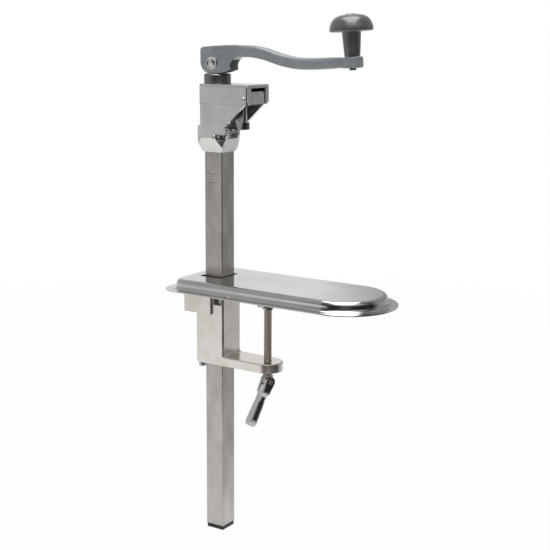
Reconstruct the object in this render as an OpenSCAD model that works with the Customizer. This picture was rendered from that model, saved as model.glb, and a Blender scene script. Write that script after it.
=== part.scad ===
// Bench can opener for a kitchen table: square bar, cam-lift crank and screw clamp.
// Millimetres, +Z up. z = 0 is the seat on the table top, X = 0 is the clamp screw's axis.

/* [Bar] */
// Side of the square bar
bar_w = 26; // [22:0.2:28]
// Wall of the square tube the bar is made from
bar_wall = 2.2; // [1.6:0.2:3]
// Corner radius of the bar
bar_corner = 1; // [0.5:0.5:3]
// How far the bar hangs below the table seat
bar_below = 315; // [200:5:400]
// Gap between the bar's axis and the clamp screw's axis
throat = 72.5; // [60:0.5:100]
// Running clearance round the bar in its guide
bar_fit = 0.15; // [0.1:0.05:0.3]
// Height of the black end plug below the tube
plug_h = 5.5; // [3:0.5:10]

/* [Tray] */
// Height of the tray's top above the seat
tray_h = 14; // [12:0.5:20]
// Half width of the raised part at its wall
tray_half = 52; // [46:1:64]
// Bar axis to the raised part's square end behind the bar
tray_back = 35.5; // [34:0.5:60]
// Corner radius of that end
tray_corner = 14.5; // [12:0.5:24]
// Bar axis to the raised part's round end under the can
tray_front = 231; // [180:0.5:280]
// Width of the flat rim beyond the wall, along the sides
rim_side = 10.5; // [8:0.5:14]
// Width of the rim behind the bar
rim_back = 14.5; // [12:0.5:20]
// Extra width of the rim at the can end
rim_end = 2.5; // [2:0.5:8]
// Fixing hole in each end of the rim
rim_hole_d = 5.5; // [4:0.5:6]
// Raised part's end to that hole
rim_hole_in = 8.8; // [8:0.2:9]
// Sheet thickness of the tray
tray_t = 1.2; // [0.8:0.1:2]
// Radius of the pressed shoulder
shoulder_r = 5.5; // [4:0.5:8]
// Radius between the wall and the rim
root_r = 5; // [2:0.5:5]

/* [Clamp] */
// Leg outside, behind the bar's axis
leg_back = 22.3; // [20:0.1:26]
// Leg outside, in front of the bar's axis
leg_front = 18.3; // [17:0.1:22]
// Half width of the leg and of the arm
leg_half = 19; // [17:0.5:24]
// Seat to the arm's upper face
jaw = 86.2; // [60:0.1:110]
// Thickness of the arm
arm_t = 11.3; // [9:0.1:16]
// Half width of the block under the tray
block_half = 22.1; // [20:0.1:30]
// Length of that block behind the bar's axis
block_back = 41.8; // [38:0.1:46]
// Height of that block
block_h = 33; // [25:1:40]
// Screw diameter
screw_d = 10; // [8:0.5:12]
// Screw pitch, one turn moves the pad by this
screw_pitch = 2; // [1.5:0.25:3]
// Seat to the pad's face as drawn
grip = 12; // [9:0.5:16]
// Pad diameter
pad_d = 26; // [20:1:32]
// Turn of the folding handle about the screw, degrees
handle_clock = -22; // [-40:1:0]
// Hang of the folding handle from straight down, degrees
handle_hang = 27; // [0:1:30]
// Length of the folding handle from its pin
handle_l = 59; // [45:1:70]

/* [Head] */
// Seat to the lower edge of the bar socket
head_z = 169.5; // [140:0.5:220]
// Height of the bar socket
socket_h = 32.5; // [30:0.5:38]
// Half width of the head's box
box_half = 22.4; // [21:0.1:26]
// Bar axis to the nose face
nose_x = 57.4; // [55:0.1:62]
// Bar axis to the head's back face
box_back = 13.3; // [13:0.1:16]
// Height of the head's box
box_h = 23.5; // [21:0.5:26]
// Height of the waist between socket and box
waist_h = 26.5; // [24:0.5:32]
// Thickness of the two cheeks
cheek_t = 3.6; // [3:0.1:5]
// Diameter of the bush on top of the head
bush_d = 32.7; // [28:0.1:36]
// Height of that bush
bush_h = 11.5; // [10:0.5:16]

/* [Drive] */
// Bar axis back to the spindle's axis
spindle_back = 2.5; // [0:0.1:3]
// Spindle diameter
spindle_d = 14; // [12:0.5:16]
// Gear module
gear_m = 1; // [0.8:0.1:1]
// Teeth on the spindle gear and on the drive gear
teeth_end = 14; // [12:1:14]
// Teeth on the idler gear
teeth_idler = 23; // [20:1:24]
// Gear thickness
gear_t = 7; // [5:0.5:8]
// Tip radius of the knurled drive wheel
wheel_r = 8.5; // [8:0.1:9]
// Thickness of the drive wheel
wheel_t = 8; // [6:0.5:9]
// Radius of the cutting disc
disc_r = 6; // [5:0.1:6]
// Lift of the carriage when the crank is folded up
cam_lift = 4.2; // [3:0.1:5]
// Crank pin to the bush face with the crank down
cam_low = 12.7; // [11:0.1:14]

/* [Crank] */
// Spindle axis to knob axis
crank_r = 188; // [150:1:220]
// Half width of the forked hub
hub_half = 13.5; // [11:0.5:14]
// Diameter of the crank pin
pin_d = 16; // [12:0.5:16]
// Knob diameter
knob_d = 50; // [40:1:60]
// Height of the knob with its stem
knob_h = 48; // [40:1:60]
// Lean of the knob's axis towards the spindle, degrees
knob_tilt = 4; // [0:0.5:6]

/* [Hidden] */

$fn = 32;
eps = 0.01;
big = 400;
gap = 0.3;                              // between separate moving bodies
run = 0.05;                             // radial running clearance of pins and shafts
bar_x = -throat;
guide_w = bar_w + 2 * bar_fit;
socket_w = bar_w + 0.2;
plate_top = tray_h - tray_t;
seat_step = 0.3;                        // the clamp seats this far inside the tray
socket_top = head_z + socket_h;
box_z = socket_top + waist_h;
box_top = box_z + box_h;
bush_top = box_top + bush_h;
pin_z = bush_top + gap + cam_low;
spindle_x = bar_x - spindle_back;
idler_x = spindle_x + gear_m * (teeth_end + teeth_idler) / 2;
wheel_x = spindle_x + gear_m * (teeth_end + teeth_idler);
box_roof = 3.7;
waist_half = box_half + 0.6;
rear_wall = 1.8;
waist_in = 1.1;
cavity_half = 15.2;
nose_pin_x = nose_x - 7.1;
nose_t = 0.9;                           // front frame's thickness
car_front = nose_x - 0.8;
slide_fit = 0.15;
car_z = box_z + gap;
car_top = box_top - box_roof - cam_lift - gap;
cover_t = 1.6;
gear_z = car_top - cover_t - 0.4 - gear_t;
disc_z = socket_top - 6;
disc_t = 1.4;
disc_x = bar_x + 17.4;
wheel_z = disc_z + disc_t + 0.4;
bar_top = disc_z - 3;
socket_front = 21;
shaft_d = 7;
barrel_d = 11;
barrel_z = wheel_z + wheel_t + 0.4;
guide_z = barrel_z + 2.4;
plate_t = 5;                            // cast plate inside the tray
plate_front = 130;                      // bar axis to that plate's end
leg_screw = [-leg_back + 5.4, leg_half - 4.1];
block_screw = [-block_back + 13.8, block_half - 6.1];
cap_l = 40;
liner_t = 3;
liner_w = bar_w - 7.4;
liner_l = 60;
cap_d = 5;                              // clamp body's cap screws
edge = 1;                               // broken upper edge of the clamp's arm
throat_edge = 1.8;                      // broken upright edges of its throat
eye_z = -jaw - arm_t - 15.2;
eye_r = 6;
knob_x = spindle_x + crank_r;
knob_z = bush_top + 10.6;

module on_bar() translate([bar_x, 0, 0]) children();
module both_y() { children(); mirror([0, 1, 0]) children(); }
module both_x() { children(); mirror([1, 0, 0]) children(); }

// Rectangle and square with round corners, centred
module round_rect(a, b, r) {
    square([a - 2 * r, b], center = true);
    square([a, b - 2 * r], center = true);
    for (x = [-1, 1], y = [-1, 1]) translate([x * (a / 2 - r), y * (b / 2 - r)]) circle(r, $fn = 16);
}
module round_square(w, r) round_rect(w, w, r);

// Solid between two heights
module slab(z0, z1) translate([0, 0, z0]) linear_extrude(z1 - z0) children();

// Profile drawn in X and Z, run along Y over a full width
module along_y(w) translate([0, w / 2, 0]) rotate([90, 0, 0]) linear_extrude(w) children();

// Profile drawn in Y and Z, run along X from x0 to x1
module along_x(x0, x1) translate([x0, 0, 0]) rotate([90, 0, 90]) linear_extrude(x1 - x0) children();

// ---- table part -------------------------------------------------------------------------

// Half section of a raised part of half width half, inset by t
module dome_section(half, t) {
    w = half - t;
    h = tray_h - t;
    r = shoulder_r - t;
    square([w - r, h]);
    square([w, h - r]);
    translate([w - r, h - r]) circle(r, $fn = 24);
}

// Section of the pressed sheet: top, shoulder, wall and the root that runs out into the rim
module tray_section(half) difference() {
    union() {
        dome_section(half, 0);
        difference() {
            square([half + root_r, tray_t + root_r]);
            translate([half + root_r, tray_t + root_r]) circle(root_r, $fn = 32);
        }
    }
    dome_section(half, tray_t);
    difference() {
        translate([0, -1]) square([half + root_r, 1 + tray_t + root_r]);
        translate([half + root_r, tray_t + root_r]) circle(root_r + tray_t, $fn = 32);
    }
}

// That section run round the tray: square end with round corners, sides, half-round end
module tray_sweep() {
    x0 = -tray_back + tray_corner;
    x1 = tray_front - tray_half;
    y0 = tray_half - tray_corner;
    translate([x1, 0, 0]) rotate([0, 0, -90]) rotate_extrude(angle = 180, $fn = 72) tray_section(tray_half);
    both_y() translate([x0, y0, 0]) {
        rotate([0, 0, 90]) rotate_extrude(angle = 90, $fn = 64) tray_section(tray_corner);
        along_x(0, x1 - x0) tray_section(tray_corner);
    }
    translate([x0, 0, 0]) rotate([0, 0, 90]) along_x(-y0, y0) tray_section(tray_corner);
    slab(plate_top, tray_h) translate([x0 - eps, -y0 - eps]) square([x1 - x0 + 2 * eps, 2 * (y0 + eps)]);
}

// Long outline: corner radius r at its square end x0, half-round end x1, half width w
module long_outline(x0, x1, w, r) {
    translate([x1 - w, 0]) circle(w, $fn = 72);
    translate([x0 + r, -w]) square([x1 - w - x0 - r, 2 * w]);
    translate([x0, r - w]) square([r + eps, 2 * (w - r)]);
    for (s = [-1, 1]) translate([x0 + r, s * (w - r)]) circle(r, $fn = 64);
}
module tray_outline(grow)
    long_outline(-tray_back - grow, tray_front + grow, tray_half + grow, tray_corner + grow);

// Opening round the bar
module bar_opening(grow) translate([-1, 0])
    round_rect(bar_w + 6.8 + 2 * grow, bar_w + 12 + 2 * grow, 2 + grow);

module tray() color("lightsteelblue") on_bar() difference() {
    union() {
        tray_sweep();
        slab(0, tray_t) difference() {
            long_outline(-tray_back - rim_back, tray_front + rim_side + rim_end, tray_half + rim_side,
                tray_corner + rim_side);
            tray_outline(root_r - 0.2);
        }
    }
    slab(-1, tray_h + 1) bar_opening(0);
    // fixing hole in each end of the rim
    for (x = [-tray_back - rim_hole_in, tray_front + rim_hole_in]) translate([x, 0, -1])
        cylinder(d = rim_hole_d, h = 4, $fn = 28);
    // drain slot in the root of the wall on the operator's side
    translate([47.2, -tray_half - root_r - 0.6, 0.9]) cube([6.5, 8, 1.5]);
}

// Cast plate inside the tray: it carries the guide and takes the clamp load
module base_plate() color("silver") on_bar() difference() {
    union() {
        slab(seat_step, plate_t) intersection() {
            tray_outline(-tray_t - 1.5);
            translate([-big, -big]) square([big + plate_front, 2 * big]);
        }
        // the part that rests on the table, ahead of the clamp's leg
        slab(0, plate_t) intersection() {
            tray_outline(-tray_t - 1.5);
            translate([leg_front + 0.5, -big]) square([plate_front - leg_front - 0.5, 2 * big]);
        }
        for (y = [-20, 16.5]) translate([leg_front + 0.5, y, 0])
            cube([plate_front - leg_front - 2.5, 3.5, plate_top]);
        slab(seat_step, plate_top) difference() {
            bar_opening(4);
            bar_opening(0.6);
        }
    }
    slab(-1, big) round_square(guide_w, bar_corner);
    both_y() translate([block_screw[0], block_screw[1], -1]) cylinder(d = cap_d + 0.1, h = big, $fn = 20);
}

// Cast clamp: block under the tray, square guide leg and the arm with the screw
module clamp_body() color("tan") difference() {
    union() {
        on_bar() {
            slab(-block_h, -gap) difference() {
                translate([-block_back, -block_half]) square([block_back + 1, 2 * block_half]);
                for (s = [-1, 1]) translate([-block_back, s * block_half]) rotate(45)
                    square([4, 4], center = true);
            }
            slab(-jaw - arm_t, seat_step) translate([-leg_back, -leg_half])
                square([leg_back + leg_front, 2 * leg_half]);
            // seat under the tray's cast plate
            slab(-block_h, seat_step) translate([-30, -leg_half]) square([30, 2 * leg_half]);
            // fillet in the throat's corner
            along_y(2 * (leg_half - throat_edge - 0.3)) translate([leg_front, -jaw]) difference() {
                square(4.5);
                translate([4.5, 4.5]) circle(4.5);
            }
        }
        // arm with a round end, its upper edge broken all round
        slab(-jaw - arm_t, -jaw - edge) {
            circle(leg_half, $fn = 64);
            translate([bar_x, -leg_half]) square([throat, 2 * leg_half]);
        }
        translate([0, 0, -jaw - edge]) cylinder(r1 = leg_half, r2 = leg_half - edge, h = edge, $fn = 64);
        along_x(bar_x, 0) polygon([[-leg_half, -jaw - edge], [leg_half, -jaw - edge],
            [leg_half - edge, -jaw], [edge - leg_half, -jaw]]);
    }
    on_bar() {
        slab(-big, 1) round_square(guide_w, bar_corner);
        // broken upright edges of the throat
        both_y() slab(-jaw, 1) translate([leg_front, -leg_half])
            polygon([[-throat_edge - 1, -1], [1, -1], [1, throat_edge + 1]]);
        // open windows over the two side walls
        translate([3.8, -leg_half - 1, -20.4]) cube([12.4, 2 * leg_half + 2, 20.9]);
        // pocket of the nylon liner
        translate([-guide_w / 2 - liner_t, -liner_w / 2, -jaw - arm_t + 6])
            cube([liner_t + eps, liner_w, liner_l]);
        both_y() translate([leg_screw[0], leg_screw[1], -big])
            cylinder(d = cap_d + 0.1, h = big - jaw - arm_t + cap_l + 1, $fn = 20);
        both_y() translate([block_screw[0], block_screw[1], -block_h - 1]) {
            cylinder(d = cap_d + 0.4, h = big, $fn = 20);
            cylinder(d = 9.6, h = 8, $fn = 28);
        }
        // the leg's front stops just short of the plate
        translate([leg_front - 0.5, -big, -seat_step]) cube([2, 2 * big, 3 * seat_step]);
        // relieved back of the leg
        translate([-leg_back - 1, -11, -jaw + 8]) cube([4, 22, jaw - block_h - 14]);
    }
    translate([0, 0, -big]) cylinder(d = screw_d + 2 * run, h = big, $fn = 40);
}

// Socket head screw seen from below, head downwards, seat at z = 0
module cap_screw(l) {
    translate([0, 0, -5]) difference() {
        cylinder(d = 8.5, h = 5, $fn = 28);
        translate([0, 0, -1]) cylinder(d = 4.6, h = 3.6, $fn = 6);
    }
    translate([0, 0, -0.1]) cylinder(d = cap_d, h = l + 0.1, $fn = 20);
}

module leg_screws() color("steelblue") on_bar() both_y()
    translate([leg_screw[0], leg_screw[1], -jaw - arm_t]) cap_screw(cap_l);

module block_screws() color("steelblue") on_bar() both_y()
    translate([block_screw[0], block_screw[1], -block_h + 7]) cap_screw(block_h + plate_t - 8);

module guide_liner() color("lightblue") on_bar()
    translate([-guide_w / 2 - liner_t, -liner_w / 2 + 0.1, -jaw - arm_t + 6.1])
        cube([liner_t - 0.1, liner_w - 0.2, liner_l - 0.2]);

// ---- bar --------------------------------------------------------------------------------

module bar() color("gray") on_bar() difference() {
    slab(-bar_below, bar_top) round_square(bar_w, bar_corner);
    slab(-bar_below - 1, bar_top + 1) round_square(bar_w - 2 * bar_wall, 0.8);
    // two pressed marks under the head
    for (m = [[-8.3, 12, 3, 26], [-8.3, 15, 1.6, 37]])
        translate([m[0], -bar_w / 2 - 1, head_z - m[3] - m[2] / 2]) cube([m[1], 1.5, m[2]]);
    translate([7, -big, head_z + 19.2]) rotate([-90, 0, 0]) cylinder(d = 4.2, h = big, $fn = 20);
}

module bar_plug() color("black") on_bar() {
    slab(-bar_below - plug_h, -bar_below) round_square(bar_w - 1, bar_corner);
    slab(-bar_below - eps, -bar_below + 18) difference() {
        round_square(bar_w - 2 * bar_wall - 0.1, 0.8);
        round_square(bar_w - 2 * bar_wall - 4, 1);
    }
}

// ---- clamp screw ------------------------------------------------------------------------

module clamp_pad() color("darkgray") difference() {
    union() {
        translate([0, 0, -grip - 4.5]) cylinder(d = pad_d, h = 3.7);
        translate([0, 0, -grip - 0.8]) cylinder(d1 = pad_d, d2 = pad_d - 2, h = 0.8);
        translate([0, 0, -grip - 8.5]) cylinder(d = 13, h = 4.5);
    }
    translate([0, 0, -grip - 9]) cylinder(d = screw_d - 2 + 2 * run, h = 7.5);
}

// Screw with its flat eye for the folding handle
module clamp_screw() color("dimgray") difference() {
    union() {
        translate([0, 0, -grip - 9]) cylinder(d = screw_d - 2, h = 7);
        translate([0, 0, -grip - 10]) cylinder(d1 = screw_d, d2 = screw_d - 2, h = 1);
        translate([0, 0, -jaw - arm_t - 6]) cylinder(d = screw_d, h = jaw + arm_t + 6 - grip - 10);
        translate([0, 0, -jaw - arm_t - 8]) cylinder(d = 12, h = 2.4);
        rotate([0, 0, handle_clock]) {
            translate([-3, -eye_r, eye_z]) cube([6, 2 * eye_r, -jaw - arm_t - 7 - eye_z]);
            translate([-3, 0, eye_z]) rotate([0, 90, 0]) cylinder(r = eye_r, h = 6);
        }
    }
    rotate([0, 0, handle_clock]) translate([-5, 0, eye_z]) rotate([0, 90, 0])
        cylinder(d = 4 + 2 * run, h = 10, $fn = 24);
}

// Half width of the folding handle's fork, along its pin
fork_out = 6.8;

// Outlines of the two inlays seen along the pin, inset by t
module fork_inlay(t) {
    circle(5.2 - t, $fn = 36);
    polygon([[-5.2 + t, 0], [5.2 - t, 0], [4.1 - t, -13 + t], [-4.1 + t, -13 + t]]);
}
module grip_inlay(t) polygon([[-2.6 + t, -20 - t], [2.6 - t, -20 - t], [3.4 - t, -handle_l + 8 + t],
    [-3.4 + t, -handle_l + 8 + t]]);

// Outline of the folding handle seen along its pin, hanging down
module handle_side() {
    circle(6.6, $fn = 36);
    polygon([[-6.6, 0], [6.6, 0], [5.4, -15], [-5.4, -15]]);
}

module handle_fork() color("gainsboro")
    translate([0, 0, eye_z]) rotate([0, 0, handle_clock]) rotate([-handle_hang, 0, 0]) difference() {
        union() {
            // two fork blades
            for (s = [-1, 1]) translate([s * 5.05, 0, 0]) along_x(-1.75, 1.75) handle_side();
            // neck and handle
            intersection() {
                along_x(-6.8, 6.8)
                    polygon([[-5.5, -13.5], [5.5, -13.5], [4.2, -19], [4.2, -24], [5, -36],
                        [5.2, -handle_l + 4], [4.2, -handle_l], [-4.2, -handle_l], [-5.2, -handle_l + 4],
                        [-5, -36], [-4.2, -24], [-4.2, -19]]);
                along_y(20)
                    polygon([[-6.8, -13.5], [6.8, -13.5], [4.8, -19], [4.4, -26], [5, -handle_l + 5],
                        [4, -handle_l], [-4, -handle_l], [-5, -handle_l + 5], [-4.4, -26], [-4.8, -19]]);
            }
        }
        translate([-20, 0, 0]) rotate([0, 90, 0]) cylinder(d = 4, h = 40, $fn = 24);
        // pockets of the inlays on both faces
        both_x() {
            along_x(fork_out - 0.8, 20) fork_inlay(0);
            along_x(3.7, 20) grip_inlay(0);
        }
        // room for the screw's eye
        translate([-3.3, -10, -7.6]) cube([6.6, 20, 20]);
    }

// Black inlays of the folding handle: round the pin and along the grip
module handle_inlays() color("black")
    translate([0, 0, eye_z]) rotate([0, 0, handle_clock]) rotate([-handle_hang, 0, 0]) both_x() {
        along_x(fork_out - 0.8, fork_out) difference() {
            fork_inlay(0.05);
            circle(d = 4.1, $fn = 24);
        }
        intersection() {
            along_x(3.7, 4.9) grip_inlay(0.05);
            along_y(20) polygon([[3, -20], [4.6, -20], [4.3, -26], [4.8, -handle_l + 7], [3, -handle_l + 7]]);
        }
    }

module handle_pin() color("black")
    translate([0, 0, eye_z]) rotate([0, 0, handle_clock]) rotate([0, 90, 0]) difference() {
        union() {
            translate([0, 0, -6.9]) cylinder(d = 4, h = 13.8, $fn = 24);
            for (s = [0, 1]) mirror([0, 0, s]) translate([0, 0, 6.8]) cylinder(d1 = 7, d2 = 6, h = 1);
        }
        for (s = [0, 1]) mirror([0, 0, s]) translate([0, 0, 7.1]) cylinder(d = 3.4, h = 3, $fn = 24);
    }

// ---- head -------------------------------------------------------------------------------

// Socket casting that holds the bar and carries the cutting disc
module bar_socket() color("darkkhaki") on_bar() difference() {
    union() {
        intersection() {
            along_y(60) polygon([[-17.5, socket_top], [-18.5, socket_top - 4], [-18.5, socket_top - 21],
                [-14.8, head_z], [14.3, head_z], [socket_front, head_z + 20.5], [socket_front, socket_top]]);
            along_x(-40, 40) polygon([[-14.7, head_z], [-22, head_z + 17.5], [-22, socket_top],
                [22, socket_top], [22, head_z + 17.5], [14.7, head_z]]);
            slab(head_z, socket_top) polygon([[-18.5, -19.5], [-10.2, -22], [8.4, -22], [socket_front, -14],
                [socket_front, 14], [8.4, 22], [-10.2, 22], [-18.5, 19.5]]);
        }
        // ear for the fork bolt on the operator's side
        translate([8, -22, socket_top - 10]) cube([15.6, 8, 10]);
        // two posts that reach up beside the disc
        for (y = [-14, 10]) along_x(15, socket_front) translate([y, socket_top - 12]) square([4, 15]);
    }
    slab(head_z - 1, bar_top) round_square(socket_w, bar_corner);
    slab(bar_top - 1, socket_top + 1) square(bar_w - 2 * bar_wall, center = true);
    // mouth of the socket, open to the front
    translate([14.9, -9.8, socket_top - 16]) cube([20, 19.6, 40]);
    translate([10.4, -7, disc_z - 0.5]) cube([12.6, 14, 40]);
    // slot through the operator's side wall
    translate([11, -30, head_z + 15]) cube([7.5, 22, 6.2]);
    translate([18.4, -30, head_z + 14]) cube([10, 16.2, 6.2]);
    // lock screw and fork bolt holes
    translate([7, -30, head_z + 19.2]) rotate([-90, 0, 0]) cylinder(d = 4.2, h = 22, $fn = 20);
    translate([10, -18, socket_top - 5]) rotate([0, 90, 0]) cylinder(d = 5, h = 40, $fn = 20);
}

module socket_screw() color("dimgray") on_bar() translate([7, 0, head_z + 19.2]) rotate([90, 0, 0])
    difference() {
        union() {
            translate([0, 0, 8]) cylinder(d = 4.2, h = 14.1, $fn = 20);
            translate([0, 0, 22]) cylinder(d1 = 6, d2 = 5, h = 1, $fn = 28);
        }
        translate([0, 0, 22.2]) cylinder(d = 2.6, h = 3, $fn = 6);
    }

module fork_bolt() color("silver") on_bar() translate([0, -18, socket_top - 5]) rotate([0, 90, 0]) {
    translate([0, 0, 10.5]) cylinder(d = 5, h = 13.2, $fn = 24);
    translate([0, 0, 23.6]) cylinder(d = 8.4, h = 1.8);
    translate([0, 0, 25.4]) cylinder(d1 = 8.4, d2 = 6.4, h = 0.8);
}

// Bevelled free-running disc under the drive wheel
module cutting_disc() color("lightsteelblue") translate([disc_x, 0, disc_z]) difference() {
    rotate_extrude($fn = 48) polygon([[0, 0], [disc_r - 1.2, 0], [disc_r, disc_t], [0, disc_t]]);
    translate([0, 0, -1]) cylinder(d = 4 + 2 * run, h = 4, $fn = 24);
}

// Carrier bridge and pin of the disc, fixed between the socket's posts
module disc_axle() color("silver") {
    translate([disc_x, 0, disc_z - 3.2]) cylinder(d = 4, h = 3.2 + disc_t, $fn = 24);
    on_bar() translate([15.1, -9.8, disc_z - 3.4]) cube([6.6, 19.6, 3]);
}

// Head casting: tenon in the bar, waist, two raked cheeks and the box of the carriage
module head_body() color("khaki") on_bar() difference() {
    union() {
        // waist and cheeks
        intersection() {
            along_y(2 * waist_half) polygon([[-box_back + waist_in, socket_top], [27.5, socket_top],
                [28, socket_top + 3.5], [nose_x - 2.8, box_z + 2], [nose_x - 2.8, box_z + 4],
                [-box_back + waist_in, box_z + 4]]);
            along_x(-30, 90) polygon([[-waist_half, socket_top], [-waist_half, box_z - 0.6],
                [-box_half, box_z + 0.3], [-box_half, box_z + 4], [box_half, box_z + 4],
                [box_half, box_z + 0.3], [waist_half, box_z - 0.6], [waist_half, socket_top]]);
        }
        // box with a round crown along its long edges
        along_x(-box_back, nose_x - nose_t - 0.2) translate([0, box_z]) {
            translate([-box_half, 0]) square([2 * box_half, box_h - 3]);
            translate([-box_half + 3, 0]) square([2 * box_half - 6, box_h]);
            for (s = [-1, 1]) translate([s * (box_half - 3), box_h - 3]) circle(3, $fn = 24);
        }
        // tenon
        slab(bar_top - 12, socket_top + 1) round_square(bar_w - 2 * bar_wall - 0.1, 0.8);
    }
    // room between the cheeks
    translate([14.9, -waist_half + cheek_t, socket_top - 1])
        cube([80, 2 * (waist_half - cheek_t), waist_h + 1 + eps]);
    // slideway of the carriage
    translate([-box_back + rear_wall, -cavity_half, box_z])
        cube([80, 2 * cavity_half, box_h - box_roof]);
    // spindle hole in the roof
    translate([spindle_x - bar_x, 0, box_z + 5]) cylinder(d = spindle_d + 2 * run, h = 60);
    // bush seat
    translate([spindle_x - bar_x, 0, box_top - 1.2]) cylinder(d = 20, h = 3);
    // lock screw dimple, clear of the disc
    translate([7, -20, head_z + 19.2]) rotate([-90, 0, 0]) cylinder(d = 4.2, h = 14, $fn = 20);
    // nose pins
    translate([nose_pin_x, -40, box_z + 7]) rotate([-90, 0, 0]) cylinder(d = 4, h = 80, $fn = 20);
    // open joint behind the front frame, down both sides
    both_y() translate([nose_x - nose_t - 2, -box_half - 2, box_z - 0.8]) cube([10, 4.2, box_h - 2.4]);
    // pockets for the nose frame's tongues
    both_y() translate([nose_pin_x - 3.6, -cavity_half - 3.5, box_z + 1.8]) cube([20, 3.5 + eps, 10.4]);
}

// Front frame of the head, pinned on: the carriage shows in its window
module nose_frame() color("wheat") on_bar() difference() {
    union() {
        along_x(nose_x - nose_t, nose_x) difference() {
            union() {
                translate([-box_half, box_z + 0.4]) square([2 * box_half, box_h - 3.4]);
                translate([-box_half + 3, box_z + 0.4]) square([2 * box_half - 6, box_h - 0.4]);
                for (s = [-1, 1]) translate([s * (box_half - 3), box_top - 3]) circle(3, $fn = 24);
            }
            translate([-cavity_half, box_z - 1]) square([2 * cavity_half, box_h - box_roof + 1]);
            for (s = [-1, 1]) translate([s * box_half, box_z]) rotate(45) square(5, center = true);
        }
        // two tongues held by the pins
        both_y() translate([nose_pin_x - 3.5, -cavity_half - 3.4, box_z + 2]) cube([10, 3.3, 10]);
    }
    translate([nose_pin_x, -40, box_z + 7]) rotate([-90, 0, 0]) cylinder(d = 4, h = 80, $fn = 20);
}

module nose_pins() color("dimgray") on_bar() both_y()
    translate([nose_pin_x, -box_half, box_z + 7]) rotate([-90, 0, 0]) {
        translate([0, 0, -1.1]) cylinder(d1 = 4.2, d2 = 5.4, h = 0.6, $fn = 28);
        translate([0, 0, -0.5]) cylinder(d = 5.4, h = 0.5, $fn = 28);
        translate([0, 0, -0.01]) cylinder(d = 4, h = 7, $fn = 20);
    }

module spindle_bush() color("slategray") translate([spindle_x, 0, box_top]) difference() {
    union() {
        translate([0, 0, -1.2]) cylinder(d = 20, h = 1.3);
        cylinder(d = bush_d, h = bush_h - 1.2, $fn = 56);
        translate([0, 0, bush_h - 1.2]) cylinder(d1 = bush_d, d2 = bush_d - 2.4, h = 1.2, $fn = 56);
    }
    translate([0, 0, -3]) cylinder(d = spindle_d + 2 * run, h = 40);
}

// ---- drive ------------------------------------------------------------------------------

// Involute tooth flank at radius r on a gear of base radius rb
function inv(a) = tan(a) * 180 / PI - a;
function flank(rb, r) = r <= rb ? 0 : inv(acos(rb / r));

// Spur gear outline, 20 degree pressure angle
module gear_outline(n, backlash) {
    rp = gear_m * n / 2;
    rb = rp * cos(20);
    ra = rp + gear_m * 0.95;
    rf = rp - gear_m * 1.2;
    half = 90 / n + inv(20) - backlash / rp * 180 / PI / 2;
    rr = [rf, rb, (rb + rp) / 2 + 0.1, (rp + ra) / 2, ra];
    polygon([for (t = [0 : n - 1], s = [-1, 1], i = [0 : 4])
        let (r = rr[s < 0 ? i : 4 - i], a = 360 * t / n + s * (half - flank(rb, r)))
        [r * cos(a), r * sin(a)]]);
}

module carriage() color("lightgray") difference() {
    union() {
        on_bar() {
            translate([-box_back + rear_wall + slide_fit, -cavity_half + slide_fit, car_z])
                cube([car_front + box_back - rear_wall - slide_fit, 2 * (cavity_half - slide_fit),
                    car_top - cover_t - car_z]);
        }
        translate([wheel_x, 0, barrel_z]) cylinder(d = barrel_d, h = car_z - barrel_z + 1);
        translate([wheel_x - 4, -11, barrel_z]) cube([8, 8, car_z - barrel_z + 0.5]);
    }
    // gear chamber
    translate([spindle_x, 0, gear_z - 0.4]) cylinder(r = gear_m * (teeth_end + 2) / 2 + 0.3, h = 40);
    translate([idler_x, 0, gear_z - 0.4]) cylinder(r = gear_m * (teeth_idler + 2) / 2 + 0.3, h = 40);
    translate([wheel_x, 0, gear_z - 0.4]) cylinder(r = gear_m * (teeth_end + 2) / 2 + 0.3, h = 40);
    // bearings
    translate([spindle_x, 0, 0]) cylinder(d = 9 + 2 * run, h = big);
    translate([wheel_x, 0, 0]) cylinder(d = shaft_d + 2 * run, h = big);
    translate([idler_x, 0, car_z - 1]) cylinder(d = 4, h = 30, $fn = 24);
    on_bar() {
        // parting line down the front face, rebates at its two upright edges
        translate([car_front - 0.4, -0.3, car_z - 1]) cube([3, 0.6, 30]);
        both_y() translate([car_front - 3, -cavity_half - 1, car_z + 2.5]) cube([5, 2.3, 30]);
    }
    translate([wheel_x + 1, -20, guide_z]) rotate([-90, 0, 0]) cylinder(d = 3, h = 16, $fn = 20);
}

module carriage_cover() color("silver") difference() {
    on_bar() translate([-box_back + rear_wall + slide_fit, -cavity_half + slide_fit, car_top - cover_t])
        cube([car_front - 1 + box_back - rear_wall - slide_fit, 2 * (cavity_half - slide_fit), cover_t]);
    translate([spindle_x, 0, 0]) cylinder(d = spindle_d + 2 * run, h = big);
    translate([idler_x, 0, 0]) cylinder(d = 4, h = big, $fn = 24);
}

// Sheet finger that steadies the can's rim beside the wheel
module rim_guide() color("gainsboro") difference() {
    translate([wheel_x, -11 - 1.8 / 2, 0]) along_y(1.8) polygon([[-3, car_z - 0.3], [9, car_z - 0.3],
        [9.5, car_z - 10], [7.5, wheel_z + 8], [6, wheel_z], [2, wheel_z], [0.5, wheel_z + 3.5],
        [-3.2, wheel_z + 7.5]]);
    translate([wheel_x + 1, -20, guide_z]) rotate([-90, 0, 0]) cylinder(d = 3, h = 14, $fn = 20);
}

module guide_screw() color("dimgray") translate([wheel_x + 1, -12.8, guide_z]) rotate([90, 0, 0]) {
    translate([0, 0, -8]) cylinder(d = 3, h = 8.2, $fn = 20);
    cylinder(d1 = 6, d2 = 4.4, h = 1.6, $fn = 28);
}

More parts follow.
